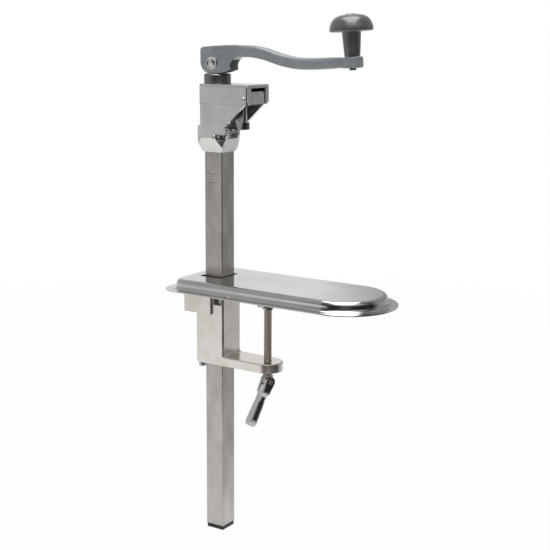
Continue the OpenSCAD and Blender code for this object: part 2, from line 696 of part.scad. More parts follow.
// Spindle in one piece with its gear and the eye for the crank pin
module spindle() color("lightslategray") translate([spindle_x, 0, 0]) difference() {
    union() {
        translate([0, 0, car_z + 0.2]) cylinder(d = 9, h = gear_z - car_z);
        translate([0, 0, gear_z]) linear_extrude(gear_t) gear_outline(teeth_end, 0.15);
        translate([0, 0, gear_z + gear_t]) cylinder(d = spindle_d, h = pin_z - 6 - gear_z - gear_t);
        intersection() {
            translate([0, 0, bush_top - 4]) cylinder(d = spindle_d, h = 40);
            along_y(60) polygon([[-9, bush_top - 5], [9, bush_top - 5], [9, pin_z + 8], [5, pin_z + 11],
                [-5, pin_z + 11], [-9, pin_z + 8]]);
        }
    }
    translate([0, -30, pin_z]) rotate([-90, 0, 0]) cylinder(d = 8 + 2 * run, h = 60);
}

module idler_gear() color("darkgray") translate([idler_x, 0, gear_z]) difference() {
    linear_extrude(gear_t) rotate([0, 0, 180 + 180 / teeth_idler]) gear_outline(teeth_idler, 0.15);
    translate([0, 0, -1]) cylinder(d = 4 + 2 * run, h = gear_t + 2, $fn = 24);
}

module idler_axle() color("dimgray") translate([idler_x, 0, car_z + 0.5])
    cylinder(d = 4, h = car_top - car_z - 0.5, $fn = 24);

// Knurled wheel, shaft and gear, turned from one blank
module drive_wheel() color("slategray") translate([wheel_x, 0, 0]) difference() {
    union() {
        translate([0, 0, gear_z]) linear_extrude(gear_t)
            rotate([0, 0, 180 + teeth_idler % 2 * 180 / teeth_end]) gear_outline(teeth_end, 0.15);
        translate([0, 0, wheel_z + wheel_t - 0.1])
            cylinder(d = shaft_d, h = gear_z - wheel_z - wheel_t + 0.2);
        translate([0, 0, wheel_z]) linear_extrude(wheel_t) polygon([for (i = [0 : 19], k = [0, 1, 2])
            let (a = 18 * (i + k / 3), r = k == 0 ? wheel_r : wheel_r - (k == 1 ? 0.1 : 1.3))
            [r * cos(a), r * sin(a)]]);
    }
    translate([0, 0, wheel_z - 1]) cylinder(d = 4, h = 9, $fn = 24);
    translate([0, 0, wheel_z - eps]) cylinder(d1 = 8.2, d2 = 4, h = 2.2, $fn = 28);
}

module wheel_screw() color("dimgray") translate([wheel_x, 0, wheel_z]) difference() {
    union() {
        cylinder(d1 = 8, d2 = 4, h = 2.1, $fn = 28);
        cylinder(d = 4, h = 7.8, $fn = 24);
    }
    translate([-3, -0.5, -1]) cube([6, 1, 1.8]);
}

// ---- crank ------------------------------------------------------------------------------

// Cam outline below and behind the pin: the support height grows evenly with the turn,
// so the flat bush stays in touch from crank down to crank folded up.
cam_rate = cam_lift / 90;
function cam_point(a) = let (h = cam_low + cam_rate * a, k = cam_rate * 180 / PI)
    [-h * sin(a) - k * cos(a), -h * cos(a) + k * sin(a)];

// Side outline of the forked hub, pin at the origin
module hub_side() {
    rear = cam_low + cam_lift;
    polygon(concat([for (a = [0 : 6 : 90]) cam_point(a)],
        [[-rear, 15], [-rear + 1, 17.6], [-rear + 3.6, 19], [0, 20.4], [20, 21.6], [34, 21.9], [46, 20.2],
        [46, 8.6], [38, 7.9], [34, 7.2], [30, 5.4], [26.8, 2.4], [24.8, -1], [24.2, -4.2],
        [25.6, -7.9], [15, -11.2], [6, -cam_low]]));
}

// Hub in plan: parallel at the pin, drawn in towards the arm
module hub_plan() polygon([[-cam_low - cam_lift - 1, -hub_half + 1.5], [-cam_low - cam_lift + 1.5, -hub_half],
    [4, -hub_half], [26, -9.4], [35, -8.5], [46, -6.5], [46, 6.5], [35, 8.5], [26, 9.4], [4, hub_half],
    [-cam_low - cam_lift + 1.5, hub_half], [-cam_low - cam_lift - 1, hub_half - 1.5]]);

// Stations of the arm: distance from the spindle, middle height over the pin, half height, half width
arm = [[36, 14.3, 7.2, 8.1], [43, 14.6, 7.2, 8], [50, 14.5, 7.2, 8], [60, 13.6, 7.3, 7.9],
    [70, 11.8, 7.3, 7.8], [80, 9.1, 7.3, 7.7], [90, 6.4, 7.3, 7.7], [100, 4.2, 7.2, 7.7],
    [110, 2.6, 7.1, 7.7], [120, 1.8, 7, 7.7], [132, 1.8, 6.9, 7.7], [146, 2.4, 6.8, 7.8],
    [160, 3.3, 6.7, 8], [172, 4.1, 6.3, 8.2], [crank_r, 4.6, 5.4, 8.2]];
arm_ring = [for (i = [0 : 23]) let (c = cos(15 * i), s = sin(15 * i))
    [sign(c) * pow(abs(c), 0.55), sign(s) * pow(abs(s), 0.55)]];

// Curved arm as one skin over its stations
module arm_skin() {
    m = len(arm_ring);
    n = len(arm);
    polyhedron(
        points = [for (s = arm, p = arm_ring) [s[0], p[0] * s[3], s[1] + p[1] * s[2]]],
        faces = concat([[for (i = [0 : m - 1]) i]], [[for (i = [m - 1 : -1 : 0]) (n - 1) * m + i]],
            [for (k = [0 : n - 2], i = [0 : m - 1]) [k * m + i, (k + 1) * m + i, (k + 1) * m + (i + 1) % m]],
            [for (k = [0 : n - 2], i = [0 : m - 1])
                [k * m + i, (k + 1) * m + (i + 1) % m, k * m + (i + 1) % m]]));
}

module at_knob() translate([knob_x, 0, knob_z + 6.2]) rotate([0, -knob_tilt, 0]) children();

module crank() color("lightsteelblue") difference() {
    union() {
        translate([spindle_x, 0, pin_z]) {
            intersection() {
                along_y(40) hub_side();
                slab(-40, 40) hub_plan();
            }
            arm_skin();
        }
        at_knob() translate([0, 0, -4.6]) {
            cylinder(r = 12.2, h = 11.2, $fn = 48);
            translate([0, 0, 11.2]) cylinder(r1 = 12.2, r2 = 11.4, h = 0.8, $fn = 48);
            translate([0, 0, -0.8]) cylinder(r1 = 11.4, r2 = 12.2, h = 0.8, $fn = 48);
        }
    }
    // fork slot for the spindle's eye, with room to fold
    translate([spindle_x, 0, pin_z]) {
        along_y(spindle_d + 2 * gap) polygon([[-40, -40], [29.6, -40], [29.6, 2], [22, 12.6], [-40, 12.6]]);
        translate([0, -30, 0]) rotate([-90, 0, 0]) cylinder(d = pin_d, h = 60, $fn = 48);
    }
    at_knob() translate([0, 0, -20]) cylinder(d = 7, h = 40, $fn = 24);
}

// Pin pressed in the crank's cheeks, turned down where it runs in the spindle's eye
module crank_pin() color("white") translate([spindle_x, 0, pin_z]) rotate([-90, 0, 0]) {
    translate([0, 0, -hub_half]) cylinder(d = 8, h = 2 * hub_half, $fn = 40);
    for (s = [0, 1]) mirror([0, 0, s]) {
        translate([0, 0, spindle_d / 2 + gap])
            cylinder(d = pin_d, h = hub_half - spindle_d / 2 - gap - 1, $fn = 48);
        translate([0, 0, hub_half - 1]) cylinder(d1 = pin_d, d2 = pin_d - 3, h = 0.8, $fn = 48);
    }
}

// Mushroom knob: straight tapered stem, square-shouldered cap, small raised disc on top
module knob() color("dimgray") at_knob() translate([0, 0, 7.6]) rotate_extrude($fn = 48) {
    r = knob_d / 2;
    h = knob_h;
    polygon([[4.1, 0], [8.7, 0], [9.2, 0.6], [10.9, h - 20.8], [r - 2.4, h - 20.4], [r - 0.8, h - 19.8],
        [r, h - 18.2], [r - 0.1, h - 16], [r - 0.9, h - 13], [r - 2.4, h - 9.2], [r - 4.9, h - 5.9],
        [r - 8.2, h - 3.5], [13, h - 2.1], [9, h - 1.4], [6, h - 1.3], [5.8, h - 0.5], [4.1, h - 0.5]]);
}

module knob_bolt() color("darkslategray") at_knob() {
    translate([0, 0, -7.6]) cylinder(d = 9, h = 2.2, $fn = 6);
    translate([0, 0, -6]) cylinder(d = 6.9, h = 13.6, $fn = 24);
    translate([0, 0, 7.5]) cylinder(d = 8, h = knob_h - 0.9, $fn = 32);
    translate([0, 0, 6.6 + knob_h]) cylinder(d1 = 8, d2 = 7, h = 0.4, $fn = 32);
}

tray();
base_plate();
clamp_body();
leg_screws();
block_screws();
guide_liner();
bar();
bar_plug();
clamp_pad();
clamp_screw();
handle_fork();
handle_inlays();
handle_pin();
bar_socket();
socket_screw();
fork_bolt();
cutting_disc();
disc_axle();
head_body();
nose_frame();
nose_pins();
spindle_bush();
carriage();
carriage_cover();
rim_guide();
guide_screw();
spindle();
idler_gear();
idler_axle();
drive_wheel();
wheel_screw();
crank();
crank_pin();
knob();
knob_bolt();
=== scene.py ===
# %% [markdown]
# # A bench can opener
#
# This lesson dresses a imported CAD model: a square steel bar in a nickel plated table
# clamp, a drawn steel tray, a nickel plated cutting head with its gears, and a painted
# crank with a mushroom knob. The CAD gives every size and every joint. Here the pieces
# get their finishes, and four shapes that a solid modeller draws plainly are made again:
# the cast crank, the turned knob, the domed crank pin and the thread of the clamp screw.

# %% Load the frame
import math

import bmesh
import bpy
import numpy as np
from mathutils import Matrix, Vector


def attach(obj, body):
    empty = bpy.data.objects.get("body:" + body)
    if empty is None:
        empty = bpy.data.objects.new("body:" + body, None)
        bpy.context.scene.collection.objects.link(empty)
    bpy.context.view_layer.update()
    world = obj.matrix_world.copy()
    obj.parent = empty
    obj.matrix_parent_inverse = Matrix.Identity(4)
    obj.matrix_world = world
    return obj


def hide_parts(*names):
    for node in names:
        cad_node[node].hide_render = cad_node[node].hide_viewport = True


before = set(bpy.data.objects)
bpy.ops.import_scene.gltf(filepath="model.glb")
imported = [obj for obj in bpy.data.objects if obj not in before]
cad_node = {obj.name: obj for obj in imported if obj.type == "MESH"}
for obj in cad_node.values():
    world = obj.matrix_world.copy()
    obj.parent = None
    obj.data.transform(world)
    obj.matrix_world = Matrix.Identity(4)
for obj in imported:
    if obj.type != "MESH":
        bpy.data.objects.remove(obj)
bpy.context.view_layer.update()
mm = 0.001

# %% [markdown]
# ## Camera
#
# The opener is seen from the front right and a little above, from about a metre and a
# half, which is how such a tall thin tool is usually shown. A long lens keeps the bar's
# edges nearly parallel. The camera is placed by its direction from a point on the
# object, so that the angle can be read from the numbers.

# %% Camera
camera_azimuth, camera_elevation, camera_roll = map(math.radians, (33.02, 11.854, 0.346))
camera_distance, camera_target = 1.49696, Vector((0.00999, 0.0, 0.02365))    # metres
film_width, lens_length = 36, 80.4888                                        # mm


def camera_axes(azimuth, elevation, roll):
    """Right, up and back of a camera that looks from that azimuth and elevation."""
    back = Vector((math.sin(azimuth) * math.cos(elevation),
                   -math.cos(azimuth) * math.cos(elevation), math.sin(elevation)))
    right = Vector((math.cos(azimuth), math.sin(azimuth), 0))
    up = back.cross(right)
    turned_right = math.cos(roll) * right + math.sin(roll) * up
    return turned_right, back.cross(turned_right), back


right, up, back = camera_axes(camera_azimuth, camera_elevation, camera_roll)
camera_data = bpy.data.cameras.new("camera")
camera_data.sensor_width = film_width
camera_data.lens = lens_length
camera = bpy.data.objects.new("camera", camera_data)
bpy.context.scene.collection.objects.link(camera)
camera.matrix_world = Matrix((right, up, back)).transposed().to_4x4()
camera.matrix_world.translation = camera_target + camera_distance * back
bpy.context.scene.camera = camera
print("camera at", [round(v, 3) for v in camera.matrix_world.translation], "lens mm", lens_length)

# %% [markdown]
# ## Helpers for materials
#
# A colour on a sheet of samples is an sRGB hex value, but the shader adds light in
# linear numbers, so one function turns the first into the second. A second one adds a
# node, gives it its settings and connects it, so that a material reads as a list of
# what feeds what. The others are made of it: an empty material, a grey that follows a
# list of stops, and the direction in which a point lies.

# %% Colour and node helpers
def linear(hex_colour):
    """sRGB hex to linear: v / 12.92 below 0.04045, else ((v + 0.055) / 1.055) to the 2.4."""
    v = np.array([int(hex_colour[i:i + 2], 16) for i in (1, 3, 5)]) / 255
    return tuple(np.where(v <= 0.04045, v / 12.92, ((v + 0.055) / 1.055) ** 2.4)) + (1.0,)


def add(tree, kind, settings=(), **inputs):
    """Adds a node. Settings are its own properties; an input is a number, a colour or a socket, by
    its name with _ for a space, or as i6 for the one at place 6 where a node uses a name twice."""
    node = tree.nodes.new(kind)
    for name, value in dict(settings).items():
        setattr(node, name, value)
    for name, value in inputs.items():
        key = int(name[1:]) if name[0] == "i" and name[1:].isdigit() else name.replace("_", " ")
        socket = node.inputs[key]
        if isinstance(value, bpy.types.NodeSocket):
            tree.links.new(value, socket)
        else:
            socket.default_value = value
    return node


def blank(name):
    """A new material with an empty node tree and its output node."""
    material = bpy.data.materials.new(name)
    material.use_nodes = True
    material.node_tree.nodes.clear()
    return material, material.node_tree, material.node_tree.nodes.new("ShaderNodeOutputMaterial")


def ramp(tree, value, stops):
    """A grey that follows the stops (value, grey), evenly between one and the next."""
    low, high = stops[0][0], stops[-1][0]
    place = add(tree, "ShaderNodeMapRange", Value=value, From_Min=low, From_Max=high).outputs["Result"]
    node = add(tree, "ShaderNodeValToRGB", Fac=place)
    elements = node.color_ramp.elements
    elements.remove(elements[1])
    for k, (position, grey) in enumerate(stops):
        element = elements.new((position - low) / (high - low)) if k else elements[0]
        element.color = (grey, grey, grey, 1)
    return node.outputs["Color"]


def bearing(tree, vector):
    """Degrees round the object from the front (-Y) towards the right (+X), which is the angle whose
    tangent is x / -y, and the height axis."""
    axes = add(tree, "ShaderNodeSeparateXYZ", Vector=vector)
    front = add(tree, "ShaderNodeMath", {"operation": "MULTIPLY"}, i0=axes.outputs["Y"], i1=-1.0)
    turn = add(tree, "ShaderNodeMath", {"operation": "ARCTAN2"}, i0=axes.outputs["X"], i1=front.outputs[0])
    degrees = add(tree, "ShaderNodeMath", {"operation": "DEGREES"}, i0=turn.outputs[0])
    return degrees.outputs[0], axes.outputs["Z"]


print("mid grey #808080 is linear", round(float(linear("#808080")[0]), 3))

# %% [markdown]
# ## Floor, background and light
#
# Metal has no colour of its own to speak of: it shows the room. The eye sees a white
# floor and a white background. Polished metal sees a room of greys that change with
# direction, light on one side and dark on the other, as in a studio with its lamps and
# walls, and a floor that darkens away from the object. That gives the bar its darker
# side and the tray's polished end its bands. An all-white room is simpler, and fairer
# to a finish, but in it this metal comes out pale and even. One large soft lamp hangs
# over the front, and a weak white fill comes from all round.

# %% Floor and world
scene = bpy.context.scene
scene.view_settings.view_transform = "Standard"
white, floor_grey = (1, 1, 1, 1), (0.8, 0.8, 0.8, 1)
floor_height = -0.3207       # metres, just under the bar's plug at rest
floor_radius = 14.0
floor_fade = (0.5, 2.2)      # metres from the bar between which the floor goes plain white
floor_plain = 0.96           # share of plain white near the object; the rest keeps the shadow


def disc_mesh(name, radius, height, steps=96):
    """A flat round sheet: points at even angles on a circle, joined as one face."""
    turn = np.linspace(0, 2 * math.pi, steps, endpoint=False)
    points = np.column_stack((radius * np.cos(turn), radius * np.sin(turn), np.full(steps, height)))
    mesh = bpy.data.meshes.new(name)
    mesh.from_pydata(points.tolist(), [], [list(range(steps))])
    return mesh


def link(name, mesh, material=None):
    """An object at the origin that shows a mesh."""
    obj = bpy.data.objects.new(name, mesh)
    scene.collection.objects.link(obj)
    if material:
        mesh.materials.append(material)
    return obj


def floor_paint():
    """White floor: part lit paint, which keeps the shadow, and part plain white for eye and gloss."""
    material, tree, out = blank("matt_white_floor")
    place = add(tree, "ShaderNodeTexCoord").outputs["Object"]
    away = add(tree, "ShaderNodeVectorMath", {"operation": "LENGTH"}, i0=place)
    far = add(tree, "ShaderNodeMapRange", {"interpolation_type": "SMOOTHSTEP"}, Value=away.outputs["Value"],
              From_Min=floor_fade[0], From_Max=floor_fade[1], To_Min=floor_plain, To_Max=1.0)
    path = add(tree, "ShaderNodeLightPath").outputs
    seen = add(tree, "ShaderNodeMath", {"operation": "MAXIMUM"}, i0=path["Is Camera Ray"],
               i1=path["Is Glossy Ray"])
    seen = add(tree, "ShaderNodeMath", {"operation": "MAXIMUM"}, i0=seen.outputs[0],
               i1=path["Is Transmission Ray"])
    share = add(tree, "ShaderNodeMath", {"operation": "MULTIPLY"}, i0=far.outputs["Result"],
                i1=seen.outputs[0])
    paint = add(tree, "ShaderNodeBsdfDiffuse", Color=floor_grey)
    glow = add(tree, "ShaderNodeEmission", Color=white, Strength=1.0)
    mix = add(tree, "ShaderNodeMixShader", Fac=share.outputs[0], i1=paint.outputs[0], i2=glow.outputs[0])
    tree.links.new(mix.outputs[0], out.inputs["Surface"])
    return material


floor = link("floor", disc_mesh("floor", floor_radius, floor_height), floor_paint())
print("floor at", floor_height, "m")

# %% The room that polished metal sees
# (degrees round from the front, grey), low down and then higher up
room_low = [(-180, 0.32), (-153, 0.36), (-149, 0.85), (-135, 0.8), (-100, 0.5), (-34, 0.45), (-26, 0.05),
            (5, 0.03), (20, 0.1), (55, 0.12), (74, 0.03), (92, 0.08), (108, 0.03), (130, 0.3), (180, 0.32)]
room_high = [(-180, 0.3), (-165, 0.5), (-146, 0.66), (-120, 0.42), (-42, 0.4), (-30, 0.12), (-18, 0.15),
             (-3, 0.5), (12, 0.8), (74, 0.8), (92, 0.3), (110, 0.08), (128, 0.1), (140, 0.3), (180, 0.3)]
room_turn = (12, 42)         # degrees of height between which the first gives way to the second

fill_strength = 0.35         # white light from all round on what isn't polished

world = bpy.data.worlds.new("studio")
scene.world = world
world.use_nodes = True
sky = world.node_tree
sky.nodes.clear()
path = add(sky, "ShaderNodeLightPath").outputs
azimuth, height = bearing(sky, add(sky, "ShaderNodeTexCoord").outputs["Generated"])
lift = add(sky, "ShaderNodeMath", {"operation": "ARCSINE"}, i0=height)
elevation = add(sky, "ShaderNodeMath", {"operation": "DEGREES"}, i0=lift.outputs[0])
upper = add(sky, "ShaderNodeMapRange", {"interpolation_type": "SMOOTHSTEP"}, Value=elevation.outputs[0],
            From_Min=room_turn[0], From_Max=room_turn[1])
# a Mix node's two colours are its inputs 6 and 7, and the mixed one is its output 2
room = add(sky, "ShaderNodeMix", {"data_type": "RGBA"}, Factor=upper.outputs["Result"],
           i6=ramp(sky, azimuth, room_low), i7=ramp(sky, azimuth, room_high))
gloss = add(sky, "ShaderNodeBackground", Color=room.outputs[2], Strength=1.0)
plain = add(sky, "ShaderNodeBackground", Color=white, Strength=1.0)
fill = add(sky, "ShaderNodeBackground", Color=white, Strength=fill_strength)
seen = add(sky, "ShaderNodeMath", {"operation": "MAXIMUM"}, i0=path["Is Camera Ray"],
           i1=path["Is Transmission Ray"])
matt = add(sky, "ShaderNodeMixShader", Fac=seen.outputs[0], i1=fill.outputs[0], i2=plain.outputs[0])
both = add(sky, "ShaderNodeMixShader", Fac=path["Is Glossy Ray"], i1=matt.outputs[0], i2=gloss.outputs[0])
sky.links.new(both.outputs[0], add(sky, "ShaderNodeOutputWorld").inputs["Surface"])
print("room: stops low down", len(room_low), "and higher up", len(room_high))

# %% Lamps
def soft_lamp(name, place, target, size, power, turn=0.0):
    """A rectangular lamp that faces a point; turn swings its long side round the line of sight."""
    data = bpy.data.lights.new(name, "AREA")
    data.shape = "RECTANGLE"
    data.size, data.size_y = size
    data.energy = power
    obj = bpy.data.objects.new(name, data)
    scene.collection.objects.link(obj)
    aim = Vector(target) - Vector(place)
    spin = Matrix.Rotation(math.radians(turn), 4, "Z")
    obj.matrix_world = aim.to_track_quat("-Z", "Y").to_matrix().to_4x4() @ spin
    obj.matrix_world.translation = Vector(place)


lamp_x, lamp_y, lamp_height = 0.327, -0.503, 2.0      # metres from the origin: to the right, and in front
soft_lamp("overhead_softbox", (lamp_x, lamp_y, lamp_height), (lamp_x, lamp_y, 0.0),
          size=(2.5, 1.6), power=50, turn=-57)

# %% The floor that polished metal sees
# (metres from the object, grey), then (degrees round it as above, grey) near it and further out
floor_by_distance = [(0.0, 0.88), (0.3, 0.92), (0.6, 0.88), (1.25, 0.82), (1.5, 0.62), (2.0, 0.6),
                     (2.6, 0.58), (14.0, 0.55)]
floor_near = [(-180, 1.0), (-25, 1.0), (-5, 0.8), (20, 0.75), (50, 0.75), (80, 0.7), (112, 0.6), (132, 0.55),
              (150, 0.64), (180, 1.0)]
floor_far = [(-180, 1.0), (-25, 1.0), (-9, 0.3), (-3, 0.04), (20, 0.03), (32, 0.15), (46, 0.12),
             (56, 0.03), (112, 0.03), (132, 0.5), (150, 0.64), (180, 1.0)]
floor_turn = (0.5, 0.8)      # metres between which the near floor gives way to the far one
card_gap = 0.0001            # metres over the floor


def floor_card_material():
    """What gloss sees of the floor: bright near the object, dimmer further out, black to the front right."""
    material, tree, out = blank("studio_floor_card")
    place = add(tree, "ShaderNodeTexCoord").outputs["Object"]
    azimuth = bearing(tree, place)[0]
    away = add(tree, "ShaderNodeVectorMath", {"operation": "LENGTH"}, i0=place).outputs["Value"]
    further = add(tree, "ShaderNodeMapRange", {"interpolation_type": "SMOOTHSTEP"}, Value=away,
                  From_Min=floor_turn[0], From_Max=floor_turn[1])
    by_turn = add(tree, "ShaderNodeMix", {"data_type": "RGBA"}, Factor=further.outputs["Result"],
                  i6=ramp(tree, azimuth, floor_near), i7=ramp(tree, azimuth, floor_far))
    both = add(tree, "ShaderNodeMix", {"data_type": "RGBA", "blend_type": "MULTIPLY"}, Factor=1.0,
               i6=ramp(tree, away, floor_by_distance), i7=by_turn.outputs[2])
    glow = add(tree, "ShaderNodeEmission", Color=both.outputs[2], Strength=1.0)
    tree.links.new(glow.outputs[0], out.inputs["Surface"])
    return material


card_mesh = disc_mesh("floor_card", floor_radius, floor_height + card_gap)
card = link("floor_card", card_mesh, floor_card_material())
card.visible_camera = card.visible_diffuse = card.visible_shadow = card.visible_transmission = False
print("stage:", floor.name, card.name)

# %% [markdown]
# ## Finishes
#
# Every finish starts from what the real one is. Metals differ in two ways that the eye
# reads at once: their tint, and how far they spread a reflection. A rolled and polished
# sheet is almost a mirror, a drawn tube spreads light across its grain, and a plated
# casting is even and soft. Each finish below is a short list of nodes: a tint that
# wanders a little, a roughness with its own grain, and a bump that is only just there.
# They share that much, so one function connects it, and a finish gives the noises and
# the numbers. Sizes in mm are those of a noise's cells. Real scratches and grit are
# finer than this and would not show, so they are drawn as coarse as they need to be.

# %% What the finishes share
per_mm = 1 / mm              # a noise of this scale has cells of one millimetre
noise_middle = (0.3, 0.7)    # most of a noise's values lie between these
tint_middle = (0.32, 0.68)
noise_roughness = 0.55
bevel_samples = 6


def grain(tree, scale, detail, stretch=(1, 1, 1)):
    """Noise on the piece's own coordinates; stretch below 1 makes long streaks on that axis."""
    place = add(tree, "ShaderNodeTexCoord").outputs["Object"]
    mapped = add(tree, "ShaderNodeMapping", Vector=place, Scale=stretch).outputs[0]
    return add(tree, "ShaderNodeTexNoise", Vector=mapped, Scale=scale, Detail=detail,
               Roughness=noise_roughness).outputs["Fac"]


def dress(tree, out, tint, rough, relief, edge=0.0, rough_middle=noise_middle, **settings):
    """A surface whose colour, roughness and relief each follow a noise, evenly over its middle part:
    low + (high - low) (noise - start) / (stop - start). tint is (noise, dark, light), rough is (noise,
    smoothest, dullest) and relief is (noise, depth in mm). An edge in mm shades edges as broken."""
    tint_noise, dark, light = tint
    share = add(tree, "ShaderNodeMapRange", Value=tint_noise,
                From_Min=tint_middle[0], From_Max=tint_middle[1])
    colour = add(tree, "ShaderNodeMix", {"data_type": "RGBA"}, Factor=share.outputs["Result"],
                 i6=linear(dark), i7=linear(light))
    rough_noise, smoothest, dullest = rough
    sheen = add(tree, "ShaderNodeMapRange", Value=rough_noise, From_Min=rough_middle[0],
                From_Max=rough_middle[1], To_Min=smoothest, To_Max=dullest)
    relief_noise, depth = relief
    bump = add(tree, "ShaderNodeBump", Height=relief_noise, Strength=1.0, Distance=depth * mm)
    if edge:
        broken = add(tree, "ShaderNodeBevel", {"samples": bevel_samples}, Radius=edge * mm)
        tree.links.new(broken.outputs["Normal"], bump.inputs["Normal"])
    shader = add(tree, "ShaderNodeBsdfPrincipled", Base_Color=colour.outputs[2],
                 Roughness=sheen.outputs["Result"], Normal=bump.outputs["Normal"], **settings)
    tree.links.new(shader.outputs[0], out.inputs["Surface"])


print("a noise of 2 mm cells has scale", per_mm / 2)

# %% Polished stainless sheet
def polished_sheet():
    """Drawn from bright rolled sheet. To the eye: nearly a mirror, with faint streaks along the rolling,
    1 mm wide and 55 mm long, and a slow waviness every 50 mm."""
    material, tree, out = blank("polished_stainless_sheet")
    streaks = grain(tree, 0.9 * per_mm, 3, (0.02, 1, 1))
    cloud = grain(tree, 0.02 * per_mm, 2)
    dress(tree, out, (cloud, "#d0cecb", "#dddbd9"), (streaks, 0.075, 0.13), (cloud, 0.02), Metallic=1.0)
    return material


sheet = polished_sheet()
print("finish:", sheet.name)

# %% Drawn square tube
def drawn_tube():
    """Stainless tube as it leaves the drawing die. To the eye: a grey sheen drawn out by scratches 0.6 mm
    wide and 30 mm long, with blotches of 14 by 40 mm."""
    material, tree, out = blank("drawn_stainless_tube")
    scratches = grain(tree, 1.6 * per_mm, 5, (1, 1, 0.02))
    blotches = grain(tree, 0.07 * per_mm, 4, (1, 1, 0.35))
    both = add(tree, "ShaderNodeMath", {"operation": "MULTIPLY_ADD"}, i0=scratches, i1=0.5, i2=blotches)
    dress(tree, out, (blotches, "#aeaaa6", "#c9c5c1"), (both.outputs[0], 0.24, 0.36), (scratches, 0.012),
          edge=0.9, rough_middle=(0.45, 1.05), Metallic=1.0)
    return material


tube = drawn_tube()
print("finish:", tube.name)

# %% Nickel plated castings
def plated_casting(name, dark, light, smoothest, dullest, edge=0.35):
    """Satin nickel over a cast and linished body. To the eye: even and soft, a little cloudy every 22 mm,
    with a skin of 1 mm and edges just broken."""
    material, tree, out = blank(name)
    cloud = grain(tree, 0.045 * per_mm, 2.5)
    skin = grain(tree, 1.1 * per_mm, 3)
    dress(tree, out, (cloud, dark, light), (cloud, smoothest, dullest), (skin, 0.02), edge=edge, Metallic=1.0)
    return material


# the clamp's plate looks warmer than the head's, and the small frames' a shade darker
clamp_nickel = plated_casting("warm_nickel_plate", "#dfd7cf", "#f1ebe6", 0.18, 0.29)
head_nickel = plated_casting("satin_nickel_plate", "#d6d5d2", "#ebeae7", 0.18, 0.29)
frame_nickel = plated_casting("bright_nickel_plate", "#c8c6c2", "#dedcd9", 0.18, 0.29, edge=0.2)
# a dull dark plate on the bush that carries the crank's spindle
bush_grey = plated_casting("grey_bush_plate", "#7e7d80", "#8a898c", 0.33, 0.42, edge=0.3)
print("finishes:", clamp_nickel.name, head_nickel.name, frame_nickel.name, bush_grey.name)

# %% Small metals
def ground_steel(name, dark, light, smoothest, dullest, edge=0.2):
    """Turned or ground steel. To the eye: fine even marks, drawn 0.7 mm wide, and a thin broken edge."""
    material, tree, out = blank(name)
    marks = grain(tree, 1.5 * per_mm, 4)
    dress(tree, out, (marks, dark, light), (marks, smoothest, dullest), (marks, 0.008), edge=edge,
          Metallic=1.0)
    return material


# bluish bright plate on bought screws, and the plain grey of hardened steel on what cuts and turns
zinc = ground_steel("bright_zinc_plate", "#aebac6", "#c2ccd6", 0.2, 0.3)
hard = ground_steel("ground_tool_steel", "#a9a8a6", "#bdbbb8", 0.18, 0.28)
# a dull brownish thread, the near mirror of the lever and the crank pin, and a black bolt
screw_steel = ground_steel("oiled_thread_steel", "#beb2a9", "#cfc3ba", 0.4, 0.5)
chrome = ground_steel("bright_chrome_plate", "#dcdcdd", "#e6e6e7", 0.05, 0.09)
blackened = ground_steel("blackened_steel", "#2a2a2b", "#39393a", 0.3, 0.4)
print("finishes:", zinc.name, hard.name, screw_steel.name, chrome.name, blackened.name)

# %% Paint and plastics
def gloss_paint():
    """Enamel baked on a casting. To the eye: a grey-blue gloss with a clear top, wavy every 8 mm as thick
    paint is, with a peel of 0.8 mm."""
    material, tree, out = blank("grey_blue_gloss_enamel")
    waves = grain(tree, 0.12 * per_mm, 2)
    peel = grain(tree, 1.3 * per_mm, 2)
    dress(tree, out, (waves, "#7d858a", "#868e92"), (waves, 0.3, 0.38), (peel, 0.012),
          Coat_Weight=1.0, Coat_Roughness=0.08)
    return material


def satin_plastic(name, dark, light, smoothest, dullest, pits=0.01, coat=0.0):
    """Moulded plastic from a lightly sparked tool. To the eye: a soft sheen over a grain of 0.6 mm, with
    colour that drifts every 20 mm. A coat stands for the polish that hands give it."""
    material, tree, out = blank(name)
    skin = grain(tree, 1.8 * per_mm, 3)
    cloud = grain(tree, 0.05 * per_mm, 2)
    dress(tree, out, (cloud, dark, light), (skin, smoothest, dullest), (skin, pits),
          Coat_Weight=coat, Coat_Roughness=0.2)
    return material


enamel = gloss_paint()
# a polished grey knob, the dull black of the plug and the inlays, and the guide's greyish nylon
knob_plastic = satin_plastic("grey_moulded_knob", "#4c4c4d", "#555556", 0.3, 0.36, pits=0.004, coat=1.0)
black_plastic = satin_plastic("black_moulded_plug", "#161718", "#1e1f21", 0.4, 0.5)
nylon = satin_plastic("blue_grey_nylon", "#8f9aa5", "#9aa5b0", 0.4, 0.5)
print("finishes:", enamel.name, knob_plastic.name, black_plastic.name, nylon.name)

# %% Give every node its finish
finish_of = {
    "tray": sheet, "base_plate": frame_nickel, "clamp_body": clamp_nickel, "leg_screws": zinc,
    "block_screws": zinc, "guide_liner": nylon, "bar": tube, "bar_plug": black_plastic,
    "clamp_pad": frame_nickel, "clamp_screw": screw_steel, "handle_fork": chrome,
    "handle_inlays": black_plastic, "handle_pin": hard, "bar_socket": head_nickel,
    "socket_screw": frame_nickel, "fork_bolt": frame_nickel, "cutting_disc": hard, "disc_axle": hard,
    "head_body": head_nickel, "nose_frame": frame_nickel, "nose_pins": frame_nickel,
    "spindle_bush": bush_grey, "carriage": frame_nickel, "carriage_cover": frame_nickel,
    "rim_guide": hard, "guide_screw": frame_nickel, "spindle": hard, "idler_gear": hard,
    "idler_axle": hard, "drive_wheel": hard, "wheel_screw": zinc, "crank": enamel, "crank_pin": chrome,
    "knob": knob_plastic, "knob_bolt": blackened,
}
for name, material in finish_of.items():
    mesh = cad_node[name].data
    mesh.materials.clear()
    mesh.materials.append(material)
print("finished nodes:", len(finish_of), "of", len(cad_node))

